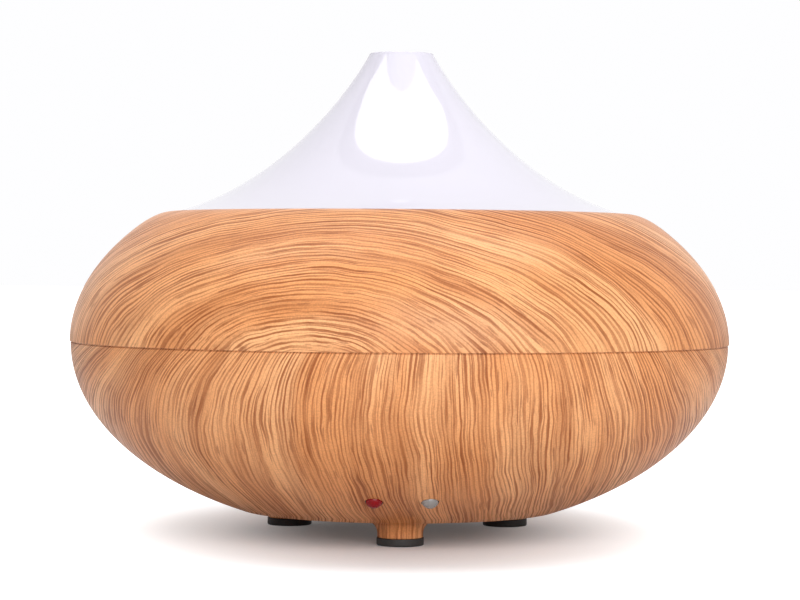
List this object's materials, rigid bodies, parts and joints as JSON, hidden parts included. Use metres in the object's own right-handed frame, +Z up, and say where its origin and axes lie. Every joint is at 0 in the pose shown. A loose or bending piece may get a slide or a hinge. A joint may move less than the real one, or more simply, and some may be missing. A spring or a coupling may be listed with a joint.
{
  "type": "cool mist humidifier",
  "caption": "Flattened onion-shaped ultrasonic humidifier on three peg feet: wood-look shells, glossy mist cone, lift-off cover over a water tank.",
  "frame": {"origin": "on the surface it stands on, under the middle of the body", "axes": "+Z up along the cone, -Y towards the two buttons"},
  "size_m": [0.168, 0.168, 0.1225],
  "materials": {
    "wood_film": "moulded ABS with a printed wood-grain film, satin lacquer",
    "opal_gloss": "glossy translucent white moulding",
    "natural_pp": "natural translucent polypropylene",
    "pad_rubber": "matte black rubber",
    "silicone": "translucent white silicone",
    "foam": "grey closed-cell foam",
    "screw_steel": "zinc-plated steel",
    "disc_metal": "plated ultrasonic disc",
    "board_laminate": "green glass-epoxy laminate with solder mask",
    "led_body": "white LED package",
    "fan_plastic": "black glass-filled nylon",
    "bronze": "sintered bronze",
    "copper": "enamelled copper wire",
    "magnet": "bonded ferrite ring",
    "alloy": "extruded aluminium",
    "black_plastic": "black moulded plastic",
    "capacitor_sleeve": "shrink sleeve",
    "connector_nylon": "ivory nylon",
    "red_lens": "translucent red moulding",
    "clear_lens": "clear moulding",
    "lead_insulation": "PVC-insulated wire"
  },
  "bodies": {
    "base": {"lower_shell": "wood_film", "water_tank": "natural_pp", "tank_seal": "silicone", "air_hood": "natural_pp", "foot_pad_front": "pad_rubber", "foot_pad_left": "pad_rubber", "foot_pad_right": "pad_rubber", "housing_screws": "screw_steel", "transducer_disc": "disc_metal", "transducer_seal": "silicone", "transducer_clamp": "screw_steel", "clamp_screws": "screw_steel", "led_board": "board_laminate", "color_leds": "led_body", "led_board_screws": "screw_steel", "fan_frame": "fan_plastic", "fan_bearing": "bronze", "fan_stator": "copper", "fan_screws": "screw_steel", "air_duct": "natural_pp", "duct_gasket": "foam", "dust_filter": "fan_plastic", "drive_board": "board_laminate", "heat_sink": "alloy", "power_transistor": "black_plastic", "drive_inductor": "copper", "drive_capacitors": "capacitor_sleeve", "board_connectors": "connector_nylon", "board_screws": "screw_steel", "control_board": "board_laminate", "tact_switches": "black_plastic", "indicator_leds": "led_body", "control_board_screws": "screw_steel", "dc_jack": "black_plastic", "jack_pin": "screw_steel", "transducer_leads": "lead_insulation", "fan_leads": "lead_insulation", "led_leads": "lead_insulation", "jack_leads": "lead_insulation", "button_leads": "lead_insulation"},
    "cover": {"upper_shell": "wood_film", "mist_cone": "opal_gloss", "splash_guard": "natural_pp"},
    "mist_key": {"mist_button": "red_lens", "mist_switch_plunger": "connector_nylon"},
    "light_key": {"light_button": "clear_lens", "light_switch_plunger": "connector_nylon"},
    "rotor": {"fan_rotor": "fan_plastic", "fan_magnet": "magnet", "fan_shaft": "screw_steel"}
  },
  "joints": [
    {"name": "cover_lift", "type": "slide", "parent": "base", "child": "cover", "axis": [0, 0, 1], "range_m": [0, 0.09]},
    {"name": "mist_press", "type": "slide", "parent": "base", "child": "mist_key", "axis": [0, 0.4631, 0.8863], "range_m": [0, 0.0006], "stiffness_N_per_m": 400, "springref_m": -0.001},
    {"name": "light_press", "type": "slide", "parent": "base", "child": "light_key", "axis": [0, 0.4631, 0.8863], "range_m": [0, 0.0006], "stiffness_N_per_m": 400, "springref_m": -0.001},
    {"name": "fan_spin", "type": "hinge", "parent": "base", "child": "rotor", "pos_m": [0, 0.034, 0.017], "axis": [0, 0, 1], "continuous": true}
  ]
}
